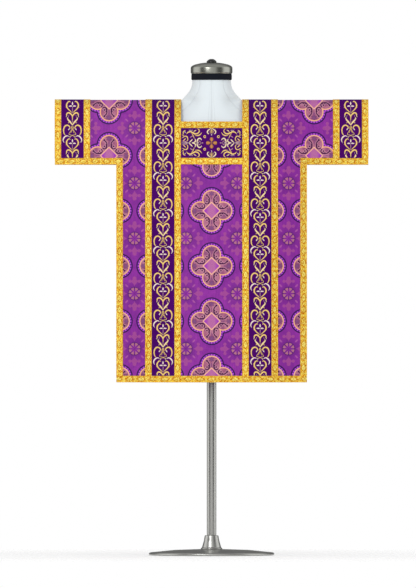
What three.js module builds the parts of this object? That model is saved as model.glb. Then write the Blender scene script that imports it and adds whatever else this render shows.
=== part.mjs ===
// A tunicle of purple brocade with velvet orphreys and gold braid, on a tailor's dress form.
// Millimetres, +Z up. The origin is the middle of the stand's underside and the garment faces -Y.
// Left and right are the wearer's: left is +X.
import * as THREE from "three";

// The garment's cut
const SHOULDER_HEIGHT = 1525; // floor to the shoulder fold
const LENGTH = 945; // shoulder fold to hem, measured straight down
const BODY_WIDTH = 636;
const SLEEVE_SPAN = 1050; // cuff to cuff
const SLEEVE_DEPTH = 216;
const NECK_WIDTH = 206;
const NECK_DROP = { front: 74, back: 62 };
const BRAID_WIDTH = 21;
const ORPHREY_WIDTH = 76; // the velvet band between two braids

// Thickness of the layers, and the gap that is left at seams and under trimmings
const CLOTH = 2;
const VELVET = 1.2;
const BRAID = 1.6;
const GAP = 0.3;
const SEAM = GAP / 2;

// How the cloth hangs: its depth from the middle plane, and how softly it turns over the shoulder
const CHEST_REACH = 132;
const CUFF_REACH = 26;
const CHEST_TURN = 80;
const CUFF_TURN = 22;
const TURN_POWER = 0.8;
const TAPER_AT = 290; // distance from the centre where the reach is halfway to the cuff's
const TAPER_POWER = 5;
const HEM_FLARE = 9;

// Soft upright folds: a row for each, with its place across, half width, depth outwards and the drop where it starts
const FOLDS = {
  front: [
    { x: -268, half: 30, depth: -9, start: 230 },
    { x: -42, half: 44, depth: 4, start: 420 },
    { x: 58, half: 40, depth: -4, start: 470 },
    { x: 262, half: 34, depth: -7, start: 280 },
    { x: 312, half: 26, depth: 6, start: 330 },
  ],
  back: [
    { x: -300, half: 30, depth: 7, start: 300 },
    { x: -255, half: 32, depth: -8, start: 250 },
    { x: -30, half: 48, depth: -5, start: 380 },
    { x: 66, half: 36, depth: 5, start: 440 },
    { x: 272, half: 32, depth: -9, start: 240 },
  ],
};

// Places across the garment, worked out from its cut
const neckSide = NECK_WIDTH / 2;
const orphreyIn = neckSide + BRAID_WIDTH;
const orphreyOut = orphreyIn + ORPHREY_WIDTH;
const clavusSide = orphreyOut + BRAID_WIDTH;
const bodySide = BODY_WIDTH / 2;
const cuff = SLEEVE_SPAN / 2;
const cuffBandOut = cuff - BRAID_WIDTH;
const cuffBandIn = cuffBandOut - ORPHREY_WIDTH;
const cuffBandSide = cuffBandIn - BRAID_WIDTH;
const wrist = SLEEVE_DEPTH - BRAID_WIDTH;
const hem = LENGTH - BRAID_WIDTH;
// The velvet panel below the neck ends level with the sleeves' lower braid
const yokeTop = { front: NECK_DROP.front + BRAID_WIDTH, back: NECK_DROP.back + BRAID_WIDTH };

// Lines of the cloth's grid, so that all layers bend at the same places
const middleOf = (a, b) => (a + b) / 2;
const halfColumns = [
  0,
  neckSide / 2,
  neckSide,
  orphreyIn,
  middleOf(orphreyIn, orphreyOut),
  orphreyOut,
  clavusSide,
  middleOf(clavusSide, bodySide - BRAID_WIDTH),
  bodySide - BRAID_WIDTH,
  bodySide,
  middleOf(bodySide, cuffBandSide),
  cuffBandSide,
  cuffBandIn,
  middleOf(cuffBandIn, cuffBandOut),
  cuffBandOut,
  cuff,
];
const COLUMNS = [...halfColumns.slice(1).map((x) => -x).reverse(), ...halfColumns];
const SHOULDER_DROPS = [2.5, 7, 15, 28, 46];
const BODY_DROPS = [265, 325, 395, 470, 550, 630, 710, 790, 865];

function dropsOf(side) {
  const neck = NECK_DROP[side];
  const yoke = yokeTop[side];
  const trims = [neck, yoke, middleOf(yoke, wrist), wrist, SLEEVE_DEPTH];
  return [...SHOULDER_DROPS, ...trims, ...BODY_DROPS, hem, LENGTH];
}
// Rows run from the front hem, where the drop counts as negative, over the shoulder to the back hem
const FRONT_ROWS = dropsOf("front").map((drop) => -drop).reverse();
const BACK_ROWS = dropsOf("back");
const ROWS = [...FRONT_ROWS, 0, ...BACK_ROWS];

function taper(x, chest, end) {
  return end + (chest - end) / (1 + (Math.abs(x) / TAPER_AT) ** TAPER_POWER);
}

function smoothStep(share) {
  const t = Math.min(1, Math.max(0, share));
  return t * t * (3 - 2 * t);
}

function foldDepth(x, drop, side) {
  const one = (f) =>
    f.depth * Math.exp(-(((x - f.x) / f.half) ** 2)) * smoothStep((drop - f.start) / (LENGTH - f.start));
  return FOLDS[side].reduce((sum, f) => sum + one(f), 0);
}

// Distance of the cloth from the middle plane
function reach(x, drop, side) {
  const turned = (1 - Math.exp(-drop / taper(x, CHEST_TURN, CUFF_TURN))) ** TURN_POWER;
  const flare = HEM_FLARE * (drop / LENGTH) ** 2;
  return taper(x, CHEST_REACH, CUFF_REACH) * turned + flare + foldDepth(x, drop, side);
}

function clothPoint(x, t) {
  const drop = Math.abs(t);
  if (drop <= SEAM) return new THREE.Vector3(x, t, SHOULDER_HEIGHT);
  const side = t < 0 ? "front" : "back";
  return new THREE.Vector3(x, Math.sign(t) * reach(x, drop, side), SHOULDER_HEIGHT - drop);
}

function clothNormal(x, t) {
  if (Math.abs(t) <= SEAM) return new THREE.Vector3(0, 0, 1);
  const step = 0.2;
  const across = clothPoint(x + step, t).sub(clothPoint(x - step, t));
  const along = clothPoint(x, t + step).sub(clothPoint(x, t - step));
  return across.cross(along).normalize();
}

// A closed wall over the grid cells that `covers` accepts, between two distances from the cloth's middle
function wallGeometry(columns, rows, covers, inner, outer) {
  const positions = [];
  const index = [];
  const ids = new Map();
  const vertex = (i, j, layer) => {
    const key = `${i},${j},${layer}`;
    if (!ids.has(key)) {
      const at = layer ? outer : inner;
      const p = clothPoint(columns[i], rows[j]).addScaledVector(clothNormal(columns[i], rows[j]), at);
      ids.set(key, positions.length / 3);
      positions.push(p.x, p.y, p.z);
    }
    return ids.get(key);
  };
  const quad = (a, b, c, d) => index.push(a, b, c, a, c, d);
  const covered = (i, j) =>
    i >= 0 &&
    j >= 0 &&
    i < columns.length - 1 &&
    j < rows.length - 1 &&
    covers(middleOf(columns[i], columns[i + 1]), middleOf(rows[j], rows[j + 1]));
  for (let i = 0; i < columns.length - 1; i++)
    for (let j = 0; j < rows.length - 1; j++) {
      if (!covered(i, j)) continue;
      const corners = [[i, j], [i + 1, j], [i + 1, j + 1], [i, j + 1]];
      quad(...corners.map(([a, b]) => vertex(a, b, 1)));
      const turnedOver = [corners[0], corners[3], corners[2], corners[1]];
      quad(...turnedOver.map(([a, b]) => vertex(a, b, 0)));
      const neighbours = [[i, j - 1], [i + 1, j], [i, j + 1], [i - 1, j]];
      neighbours.forEach(([a, b], k) => {
        if (covered(a, b)) return;
        const from = corners[k];
        const to = corners[(k + 1) % 4];
        quad(vertex(...from, 0), vertex(...to, 0), vertex(...to, 1), vertex(...from, 1));
      });
    }
  const geometry = new THREE.BufferGeometry();
  geometry.setAttribute("position", new THREE.Float32BufferAttribute(positions, 3));
  geometry.setIndex(index);
  geometry.computeVertexNormals();
  return geometry;
}

const COLOURS = {
  brocade: { color: 0x8c3296, roughness: 0.55, metalness: 0 },
  velvet: { color: 0x41106e, roughness: 0.85, metalness: 0 },
  braid: { color: 0xe8b23c, roughness: 0.4, metalness: 0.3 },
  jersey: { color: 0xe9e6df, roughness: 0.9, metalness: 0 },
  black: { color: 0x16161c, roughness: 0.6, metalness: 0 },
  steel: { color: 0xb8b6ae, roughness: 0.25, metalness: 1 },
};
const materials = Object.fromEntries(
  Object.entries(COLOURS).map(([name, look]) => [name, new THREE.MeshStandardMaterial(look)]),
);

const tunicle = new THREE.Group();
const dressForm = new THREE.Group();

function add(group, name, geometry, material) {
  const mesh = new THREE.Mesh(geometry, materials[material]);
  mesh.name = name;
  group.add(mesh);
}

// The front and back are each cut in one with their half of the sleeves
function inPanel(x, t, neckDrop) {
  const drop = Math.abs(t);
  const inSleeve = drop < SLEEVE_DEPTH;
  const inNeck = Math.abs(x) < neckSide && drop < neckDrop;
  return (Math.abs(x) < bodySide || inSleeve) && !inNeck;
}

function addPanels() {
  const sides = { front: [...FRONT_ROWS, -SEAM], back: [SEAM, ...BACK_ROWS] };
  for (const [side, rows] of Object.entries(sides)) {
    const covers = (x, t) => inPanel(x, t, NECK_DROP[side]);
    add(tunicle, `${side}_panel`, wallGeometry(COLUMNS, rows, covers, -CLOTH / 2, CLOTH / 2), "brocade");
  }
}

// The grid lines between two places, with a seam's half gap kept at each end
function linesBetween(lines, low, high) {
  return [low + SEAM, ...lines.filter((v) => v > low + 1 && v < high - 1), high - SEAM];
}

// A trimming that lies on the cloth, from x1 to x2 across and from t1 to t2 along
function addTrim(name, [x1, x2], [t1, t2], thickness, material) {
  const columns = linesBetween(COLUMNS, x1, x2);
  const rows = linesBetween(ROWS, t1, t2);
  const inner = CLOTH / 2 + GAP;
  add(tunicle, name, wallGeometry(columns, rows, () => true, inner, inner + thickness), material);
}

const spanOn = (hand, near, far) => (hand === "left" ? [near, far] : [-far, -near]);
const dropsOn = (side, near, far) => (side === "front" ? [-far, -near] : [near, far]);
const HANDS = ["left", "right"];
const SIDES = ["front", "back"];

// Each clavus runs from the front hem over the shoulder to the back hem, and each cuff band likewise
function addClaviAndCuffBands() {
  for (const hand of HANDS) {
    addTrim(`clavus_${hand}`, spanOn(hand, orphreyIn, orphreyOut), [-hem, hem], VELVET, "velvet");
    addTrim(`clavus_braid_${hand}_inner`, spanOn(hand, neckSide, orphreyIn), [-hem, hem], BRAID, "braid");
    addTrim(`clavus_braid_${hand}_outer`, spanOn(hand, orphreyOut, clavusSide), [-hem, hem], BRAID, "braid");
    addTrim(`cuff_band_${hand}`, spanOn(hand, cuffBandIn, cuffBandOut), [-wrist, wrist], VELVET, "velvet");
    addTrim(`cuff_braid_${hand}_outer`, spanOn(hand, cuffBandOut, cuff), [-wrist, wrist], BRAID, "braid");
    addTrim(`cuff_braid_${hand}_inner`, spanOn(hand, cuffBandSide, cuffBandIn), [-wrist, wrist], BRAID, "braid");
  }
}

// The braid that edges the sleeves' open lower edge, the open sides and the hem
function addEdgeBraids() {
  for (const side of SIDES) {
    for (const hand of HANDS) {
      const sleeve = spanOn(hand, bodySide - BRAID_WIDTH, cuff);
      const edge = spanOn(hand, bodySide - BRAID_WIDTH, bodySide);
      const under = dropsOn(side, wrist, SLEEVE_DEPTH);
      const flank = dropsOn(side, SLEEVE_DEPTH, hem);
      addTrim(`sleeve_braid_${side}_${hand}`, sleeve, under, BRAID, "braid");
      addTrim(`side_braid_${side}_${hand}`, edge, flank, BRAID, "braid");
    }
    addTrim(`hem_braid_${side}`, [-bodySide, bodySide], dropsOn(side, hem, LENGTH), BRAID, "braid");
  }
}

// The velvet panel below the neck, with a braid above and below it
function addYokes() {
  for (const side of SIDES) {
    const neck = NECK_DROP[side];
    const across = [-neckSide, neckSide];
    addTrim(`neck_braid_${side}`, across, dropsOn(side, neck, yokeTop[side]), BRAID, "braid");
    addTrim(`yoke_${side}`, across, dropsOn(side, yokeTop[side], wrist), VELVET, "velvet");
    addTrim(`yoke_braid_${side}`, across, dropsOn(side, wrist, SLEEVE_DEPTH), BRAID, "braid");
  }
}

// The dress form's torso: a row for each level, measured down from the shoulder fold.
// wide and deep are half sizes, and middle is the half depth at the neck and breastbone.
const TORSO = [
  { drop: -67, wide: 65, deep: 64, middle: 64 },
  { drop: -48, wide: 67, deep: 65, middle: 65 },
  { drop: -28, wide: 76, deep: 58, middle: 66 },
  { drop: -12, wide: 90, deep: 42, middle: 67 },
  { drop: CLOTH / 2 + GAP + 0.1, wide: neckSide, deep: 20, middle: 67 },
  { drop: 12, wide: 118, deep: 28, middle: 68 },
  { drop: 25, wide: 140, deep: 43, middle: 69 },
  { drop: 45, wide: 178, deep: 57, middle: 71 },
  { drop: 68, wide: 206, deep: 74, middle: 75 },
  { drop: 100, wide: 221, deep: 93, middle: 90 },
  { drop: 150, wide: 216, deep: 110, middle: 107 },
  { drop: 210, wide: 202, deep: 118, middle: 116 },
  { drop: 280, wide: 188, deep: 116, middle: 116 },
  { drop: 370, wide: 168, deep: 104, middle: 104 },
  { drop: 450, wide: 168, deep: 104, middle: 104 },
  { drop: 550, wide: 186, deep: 113, middle: 113 },
  { drop: 640, wide: 191, deep: 117, middle: 117 },
  { drop: 700, wide: 187, deep: 114, middle: 114 },
  { drop: 720, wide: 177, deep: 105, middle: 105 },
];
const TORSO_SEGMENTS = 32;
const NECK_SPREAD = 65; // how far from the centre the neck's depth still counts

function torsoRing({ drop, wide, deep, middle }) {
  return Array.from({ length: TORSO_SEGMENTS }, (_, k) => {
    const angle = (2 * Math.PI * k) / TORSO_SEGMENTS;
    const x = wide * Math.cos(angle);
    const depth = deep + (middle - deep) * Math.exp(-((x / NECK_SPREAD) ** 4));
    return new THREE.Vector3(x, depth * Math.sin(angle), SHOULDER_HEIGHT - drop);
  });
}

// A closed solid through rings of equal length, from the top one to the bottom one
function loftGeometry(rings) {
  const count = rings[0].length;
  const centre = (ring) => ring.reduce((sum, p) => sum.add(p), new THREE.Vector3()).divideScalar(count);
  const points = [...rings.flat(), centre(rings[0]), centre(rings[rings.length - 1])];
  const top = points.length - 2;
  const bottom = points.length - 1;
  const index = [];
  for (let k = 0; k < count; k++) {
    const next = (k + 1) % count;
    index.push(top, k, next);
    for (let r = 0; r < rings.length - 1; r++) {
      const upper = r * count;
      const lower = upper + count;
      index.push(upper + k, lower + k, lower + next, upper + k, lower + next, upper + next);
    }
    const last = (rings.length - 1) * count;
    index.push(bottom, last + next, last + k);
  }
  const geometry = new THREE.BufferGeometry().setFromPoints(points);
  geometry.setIndex(index);
  geometry.computeVertexNormals();
  return geometry;
}

// A solid turned round the Z axis. Its profile is [radius, height] from the bottom on the axis to the top on it.
function turnedGeometry(profile, segments) {
  const points = profile.map(([radius, height]) => new THREE.Vector2(radius, height));
  return new THREE.LatheGeometry(points, segments).rotateX(Math.PI / 2);
}

// The stand and the neck's fittings
const BASE_RADIUS = 210;
const BASE_EDGE = 9;
const BASE_RISE = 20;
const HUB_RADIUS = 36;
const HUB_TOP_RADIUS = 23;
const HUB_HEIGHT = 46;
const POLE_RADIUS = 16;
const BOARD_THICKNESS = 10;
const BOARD_INSET = 8;
const NECK_BAND_RADIUS = 68;
const NECK_BAND_HEIGHT = 21;
const CAP_RADIUS = 70;
const CAP_SIDE = 24;
const CAP_RISE = 13;
const KNOB_RADIUS = 17;
const KNOB_HEIGHT = 12;
const ROUND = 40;

const lastRow = TORSO[TORSO.length - 1];
const torsoBottom = SHOULDER_HEIGHT - lastRow.drop;
const boardBottom = torsoBottom - GAP - BOARD_THICKNESS;
const bandBottom = SHOULDER_HEIGHT - TORSO[0].drop + GAP;
const capBottom = bandBottom + NECK_BAND_HEIGHT + GAP;
const capTop = capBottom + CAP_SIDE + CAP_RISE;

function boardGeometry() {
  const outline = { ...lastRow, wide: lastRow.wide - BOARD_INSET, deep: lastRow.deep - BOARD_INSET };
  outline.middle = outline.deep;
  const ringAt = (z) => torsoRing(outline).map((p) => p.setZ(z));
  return loftGeometry([ringAt(torsoBottom - GAP), ringAt(boardBottom)]);
}

function addDressForm() {
  add(dressForm, "form_torso", loftGeometry(TORSO.map(torsoRing)), "jersey");
  add(dressForm, "form_board", boardGeometry(), "black");
  const band = turnedGeometry(
    [[0, 0], [NECK_BAND_RADIUS, 0], [NECK_BAND_RADIUS, NECK_BAND_HEIGHT], [0, NECK_BAND_HEIGHT]],
    ROUND,
  );
  add(dressForm, "form_neck_band", band.translate(0, 0, bandBottom), "black");
  const bevel = 4;
  const cap = turnedGeometry(
    [
      [0, 0],
      [CAP_RADIUS - 1, 0],
      [CAP_RADIUS, 1],
      [CAP_RADIUS, CAP_SIDE - bevel],
      [CAP_RADIUS - bevel / 2, CAP_SIDE],
      [CAP_RADIUS * 0.85, CAP_SIDE + CAP_RISE * 0.5],
      [CAP_RADIUS * 0.6, CAP_SIDE + CAP_RISE * 0.85],
      [KNOB_RADIUS + 6, CAP_SIDE + CAP_RISE],
      [0, CAP_SIDE + CAP_RISE],
    ],
    ROUND,
  );
  add(dressForm, "form_neck_cap", cap.translate(0, 0, capBottom), "steel");
  const knob = turnedGeometry(
    [
      [0, 0],
      [KNOB_RADIUS * 0.8, 0],
      [KNOB_RADIUS, KNOB_HEIGHT * 0.3],
      [KNOB_RADIUS * 0.9, KNOB_HEIGHT * 0.6],
      [KNOB_RADIUS * 0.55, KNOB_HEIGHT * 0.9],
      [0, KNOB_HEIGHT],
    ],
    ROUND / 2,
  );
  add(dressForm, "form_neck_knob", knob.translate(0, 0, capTop + GAP), "black");
}

function addStand() {
  const base = turnedGeometry(
    [
      [0, 0],
      [BASE_RADIUS, 0],
      [BASE_RADIUS, BASE_EDGE * 0.7],
      [BASE_RADIUS - 4, BASE_EDGE],
      [BASE_RADIUS * 0.6, BASE_RISE * 0.85],
      [BASE_RADIUS * 0.2, BASE_RISE],
      [0, BASE_RISE],
    ],
    ROUND,
  );
  add(dressForm, "form_base", base, "steel");
  const hub = turnedGeometry([[0, 0], [HUB_RADIUS, 0], [HUB_TOP_RADIUS, HUB_HEIGHT], [0, HUB_HEIGHT]], ROUND / 2);
  add(dressForm, "form_hub", hub.translate(0, 0, BASE_RISE + GAP), "steel");
  const poleBottom = BASE_RISE + HUB_HEIGHT + 2 * GAP;
  const poleLength = boardBottom - GAP - poleBottom;
  const pole = new THREE.CylinderGeometry(POLE_RADIUS, POLE_RADIUS, poleLength, ROUND / 2);
  pole.rotateX(Math.PI / 2).translate(0, 0, poleBottom + poleLength / 2);
  add(dressForm, "form_pole", pole, "steel");
}

addPanels();
addClaviAndCuffBands();
addEdgeBraids();
addYokes();
addDressForm();
addStand();

const part = new THREE.Group();
part.add(tunicle, dressForm);
export default part;
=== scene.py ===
"""A purple brocade tunicle with velvet orphreys and gold braid on a dress form: the looks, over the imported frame.

Sizes are in millimetres until a mesh is made. The garment faces -Y, and the wearer's left is +X.
On the cloth, x runs across and t along: t is 0 at the shoulder fold, minus the drop in front, plus the drop behind.
"""
import functools
import math

import bpy
import numpy as np
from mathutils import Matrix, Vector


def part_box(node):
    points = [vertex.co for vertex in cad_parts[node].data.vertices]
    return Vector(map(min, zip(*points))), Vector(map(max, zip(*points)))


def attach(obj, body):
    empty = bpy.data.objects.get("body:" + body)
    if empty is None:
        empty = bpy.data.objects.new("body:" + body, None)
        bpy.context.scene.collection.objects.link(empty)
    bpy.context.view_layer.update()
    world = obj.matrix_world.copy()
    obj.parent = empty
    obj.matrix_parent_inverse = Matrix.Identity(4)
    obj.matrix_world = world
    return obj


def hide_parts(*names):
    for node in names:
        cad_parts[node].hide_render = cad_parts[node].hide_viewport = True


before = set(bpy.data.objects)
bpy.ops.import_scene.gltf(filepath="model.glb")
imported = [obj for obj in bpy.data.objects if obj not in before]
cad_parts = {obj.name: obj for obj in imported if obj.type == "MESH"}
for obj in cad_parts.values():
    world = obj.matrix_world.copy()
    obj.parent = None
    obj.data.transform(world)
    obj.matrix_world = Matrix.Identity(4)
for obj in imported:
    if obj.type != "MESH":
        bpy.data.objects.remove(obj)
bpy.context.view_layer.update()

MM = 0.001
BODY = "root"

# The garment's cut, as in the part's source
SHOULDER_HEIGHT = 1525
LENGTH = 945
BODY_SIDE = 318
CUFF = 525
SLEEVE_DEPTH = 216
NECK_SIDE = 103
NECK_DROP = {"front": 74, "back": 62}
BRAID_WIDTH = 21
ORPHREY_WIDTH = 76
CHEST_REACH = 132
CUFF_REACH = 26
CHEST_TURN = 80
CUFF_TURN = 22
TURN_POWER = 0.8
TAPER_AT = 290
TAPER_POWER = 5
HEM_FLARE = 9

CLAVUS_IN = NECK_SIDE + BRAID_WIDTH
CLAVUS_OUT = CLAVUS_IN + ORPHREY_WIDTH
CLAVUS_SIDE = CLAVUS_OUT + BRAID_WIDTH
BAND_OUT = CUFF - BRAID_WIDTH
BAND_IN = BAND_OUT - ORPHREY_WIDTH
BAND_SIDE = BAND_IN - BRAID_WIDTH
WRIST = SLEEVE_DEPTH - BRAID_WIDTH
HEM = LENGTH - BRAID_WIDTH

SIDES = {"front": -1, "back": 1}
HANDS = {"left": 1, "right": -1}

# Upright folds of the solids: place across, half width, depth outwards, drop where it starts
FOLDS = {
    "front": [
        dict(x=-268, half=30, depth=-9, start=230),
        dict(x=-42, half=44, depth=4, start=420),
        dict(x=58, half=40, depth=-4, start=470),
        dict(x=262, half=34, depth=-7, start=280),
        dict(x=312, half=26, depth=6, start=330),
    ],
    "back": [
        dict(x=-300, half=30, depth=7, start=300),
        dict(x=-255, half=32, depth=-8, start=250),
        dict(x=-30, half=48, depth=-5, start=380),
        dict(x=66, half=36, depth=5, start=440),
        dict(x=272, half=32, depth=-9, start=240),
    ],
}

# Finer creases: each lies along a line from one (x, drop) to another
CREASES = {
    "front": [
        dict(start=(236, 40), end=(300, 250), half=16, depth=-2.2),
        dict(start=(262, 30), end=(330, 190), half=14, depth=1.8),
        dict(start=(-232, 50), end=(-304, 262), half=17, depth=-2.4),
        dict(start=(-268, 40), end=(-336, 180), half=14, depth=1.6),
        dict(start=(372, 20), end=(398, 190), half=15, depth=-1.6),
        dict(start=(-380, 20), end=(-392, 190), half=15, depth=-1.5),
        dict(start=(20, 300), end=(-30, 620), half=26, depth=1.8),
        dict(start=(-62, 520), end=(-76, 900), half=20, depth=-2.0),
        dict(start=(268, 420), end=(250, 760), half=15, depth=1.8),
        dict(start=(-262, 380), end=(-284, 700), half=14, depth=1.6),
    ],
    "back": [
        dict(start=(240, 40), end=(302, 240), half=16, depth=-2.2),
        dict(start=(-240, 40), end=(-300, 250), half=16, depth=-2.0),
        dict(start=(378, 20), end=(390, 190), half=15, depth=-1.5),
        dict(start=(-376, 20), end=(-396, 190), half=15, depth=-1.7),
        dict(start=(-10, 280), end=(26, 640), half=26, depth=1.8),
        dict(start=(60, 480), end=(74, 880), half=20, depth=-2.0),
        dict(start=(-262, 420), end=(-246, 780), half=15, depth=1.8),
    ],
}


def taper(x, chest, end):
    return end + (chest - end) / (1 + (np.abs(x) / TAPER_AT) ** TAPER_POWER)


def smooth_step(share):
    share = np.clip(share, 0, 1)
    return share * share * (3 - 2 * share)


def fold_depth(x, drop, fold):
    grown = smooth_step((drop - fold["start"]) / (LENGTH - fold["start"]))
    return fold["depth"] * np.exp(-(((x - fold["x"]) / fold["half"]) ** 2)) * grown


def crease_depth(x, drop, crease):
    (x1, d1), (x2, d2) = crease["start"], crease["end"]
    length = math.hypot(x2 - x1, d2 - d1)
    along = ((x - x1) * (x2 - x1) + (drop - d1) * (d2 - d1)) / length
    across = ((drop - d1) * (x2 - x1) - (x - x1) * (d2 - d1)) / length
    ends = smooth_step(along / (0.35 * length)) * smooth_step((length - along) / (0.35 * length))
    return crease["depth"] * np.exp(-((across / crease["half"]) ** 2)) * ends


def reach(x, t):
    """Distance of the cloth from the middle plane."""
    drop = np.abs(t)
    turned = (1 - np.exp(-drop / taper(x, CHEST_TURN, CUFF_TURN))) ** TURN_POWER
    depth = taper(x, CHEST_REACH, CUFF_REACH) * turned + HEM_FLARE * (drop / LENGTH) ** 2
    for side, sign in SIDES.items():
        formed = sum(fold_depth(x, drop, fold) for fold in FOLDS[side])
        formed = formed + sum(crease_depth(x, drop, crease) for crease in CREASES[side])
        depth = depth + np.where(sign * t > 0, formed, 0)
    return depth


def cloth_point(x, t):
    x, t = np.broadcast_arrays(np.asarray(x, float), np.asarray(t, float))
    return np.stack([x, np.sign(t) * reach(x, t), SHOULDER_HEIGHT - np.abs(t)], axis=-1)


def cloth_normal(x, t):
    step = 0.2
    across = cloth_point(x + step, t) - cloth_point(x - step, t)
    along = cloth_point(x, t + step) - cloth_point(x, t - step)
    normal = np.cross(across, along)
    return normal / np.linalg.norm(normal, axis=-1, keepdims=True)


@functools.lru_cache(maxsize=None)
def cut_table(x, sign):
    """Drops in the column at x, and how far down the flat cut each lies, counted to equal the drop at the hem."""
    drops = np.linspace(0, 1, 700) ** 2 * LENGTH
    steps = np.hypot(np.diff(drops), np.diff(reach(x, sign * drops)))
    travelled = np.concatenate([[0], np.cumsum(steps)])
    return drops, LENGTH - travelled[-1] + travelled


def cut_drop(x, t):
    """How far down the flat cut points of the column at x lie."""
    drop = np.abs(t)
    return np.where(t > 0, np.interp(drop, *cut_table(x, 1)), np.interp(drop, *cut_table(x, -1)))


def cut_length(x, t1, t2):
    """The cloth's length between two places of the column at x."""
    cuts = cut_drop(x, np.array([t1, t2], float))
    crossing = 2 * cut_drop(x, 0.0) if t1 < 0 < t2 else 0
    return float(cuts.sum() - crossing) if t1 < 0 < t2 else float(abs(cuts[1] - cuts[0]))


def rows_between(x, t1, t2, step):
    """Places along the cloth from t1 to t2, evenly spaced on the cloth itself in the column at x."""
    ends = []
    for sign in SIDES.values():
        low, high = max(sign * t1, 0), max(sign * t2, 0)
        low, high = min(low, high), max(low, high)
        if high - low < 0.5:
            continue
        drops, cuts = cut_table(x, sign)
        first, last = np.interp([low, high], drops, cuts)
        count = max(1, round((last - first) / step))
        ends += list(sign * np.interp(np.linspace(first, last, count + 1), cuts, drops))
    return with_lines(ends, [t1, t2], 0.3)


def with_lines(lines, exact, apart):
    """Sorted grid lines that hold the exact ones, without others that lie too near to them."""
    lines = [v for v in sorted(lines) if all(abs(v - e) > apart for e in exact)]
    return np.array(sorted([*lines, *exact]))


def even_lines(low, high, step):
    return np.linspace(low, high, max(2, round((high - low) / step) + 1))


# Meshes
def new_piece(name, points, faces, materials, indices=None, fields=None, replaced=()):
    """A mesh object that rides on the part's body. Its points are in millimetres."""
    mesh = bpy.data.meshes.new(name)
    mesh.from_pydata((np.asarray(points) * MM).tolist(), [], faces)
    for material in materials:
        mesh.materials.append(material)
    if indices is not None:
        mesh.polygons.foreach_set("material_index", indices)
    for field, values in (fields or {}).items():
        layer = mesh.attributes.new(field, "FLOAT_VECTOR", "POINT")
        layer.data.foreach_set("vector", np.asarray(values, np.float32).ravel())
    mesh.polygons.foreach_set("use_smooth", [True] * len(mesh.polygons))
    mesh.set_sharp_from_angle(angle=math.radians(50))
    mesh.update()
    piece = bpy.data.objects.new(name, mesh)
    bpy.context.scene.collection.objects.link(piece)
    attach(piece, BODY)
    if replaced:
        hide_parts(*replaced)
    return piece


def wall(name, xs, ts, inner, outer, materials, replaced, covers=None, field=None):
    """A closed wall of cloth over a grid. inner and outer are its faces' heights over the cloth's middle."""
    grid_x, grid_t = np.meshgrid(xs, ts, indexing="ij")
    middle, normal = cloth_point(grid_x, grid_t), cloth_normal(grid_x, grid_t)
    layers = [middle + normal * np.broadcast_to(h, grid_x.shape)[..., None] for h in (inner, outer)]
    if field is None:
        field = np.stack([grid_x, np.abs(grid_t), np.sign(grid_t)], axis=-1)
    columns, rows = len(xs) - 1, len(ts) - 1
    covered = np.ones((columns, rows), bool)
    if covers:
        covered = covers(*np.meshgrid((xs[1:] + xs[:-1]) / 2, (ts[1:] + ts[:-1]) / 2, indexing="ij"))
    count = grid_x.size

    def vertex(i, j, layer):
        return int(layer * count + i * len(ts) + j)

    faces, indices = [], []
    for i, j in np.argwhere(covered):
        corners = [(i, j), (i + 1, j), (i + 1, j + 1), (i, j + 1)]
        faces.append([vertex(*c, 1) for c in corners])
        faces.append([vertex(*c, 0) for c in reversed(corners)])
        indices += [0, 1]
        for k, (a, b) in enumerate([(i, j - 1), (i + 1, j), (i, j + 1), (i - 1, j)]):
            if 0 <= a < columns and 0 <= b < rows and covered[a, b]:
                continue
            start, end = corners[k], corners[(k + 1) % 4]
            faces.append([vertex(*start, 0), vertex(*end, 0), vertex(*end, 1), vertex(*start, 1)])
            indices.append(1)
    used, renumbered = np.unique(np.array(faces), return_inverse=True)
    faces = renumbered.reshape(-1, 4).tolist()
    points = np.concatenate([layer.reshape(-1, 3) for layer in layers])[used]
    fields = {"cut": np.concatenate([field.reshape(-1, 3)] * 2)[used]}
    indices = [min(i, len(materials) - 1) for i in indices]
    return new_piece(name, points, faces, materials, indices, fields, replaced)


def turned(name, profile, segments, material, replaced, slot, base=0.0):
    """A solid turned round the Z axis, from a profile of [radius, height] that starts and ends on the axis."""
    rings = [p for p in profile if p[0] > 0]
    angles = np.arange(segments) * 2 * math.pi / segments
    points = [[r * math.cos(a), r * math.sin(a), z + base] for r, z in rings for a in angles]
    points += [[0, 0, profile[0][1] + base], [0, 0, profile[-1][1] + base]]
    faces = []
    for k in range(segments):
        n = (k + 1) % segments
        for r in range(len(rings) - 1):
            low, high = r * segments, (r + 1) * segments
            faces.append([low + k, low + n, high + n, high + k])
        last = (len(rings) - 1) * segments
        faces += [[len(points) - 2, n, k], [len(points) - 1, last + k, last + n]]
    return new_piece(name, points, faces, [material], replaced=replaced)


def rounded(profile, radius, steps=5):
    """The profile with its corners rounded, as points."""
    result = [profile[0]]
    for before, corner, after in zip(profile, profile[1:], profile[2:]):
        p, c, q = (np.array(v, float) for v in (before, corner, after))
        cut = min(radius, np.linalg.norm(p - c) / 2.2, np.linalg.norm(q - c) / 2.2)
        start, end = c + (p - c) / np.linalg.norm(p - c) * cut, c + (q - c) / np.linalg.norm(q - c) * cut
        for share in np.linspace(0, 1, steps):
            result.append(((1 - share) ** 2 * start + 2 * share * (1 - share) * c + share**2 * end).tolist())
    return [*result, profile[-1]]


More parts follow.
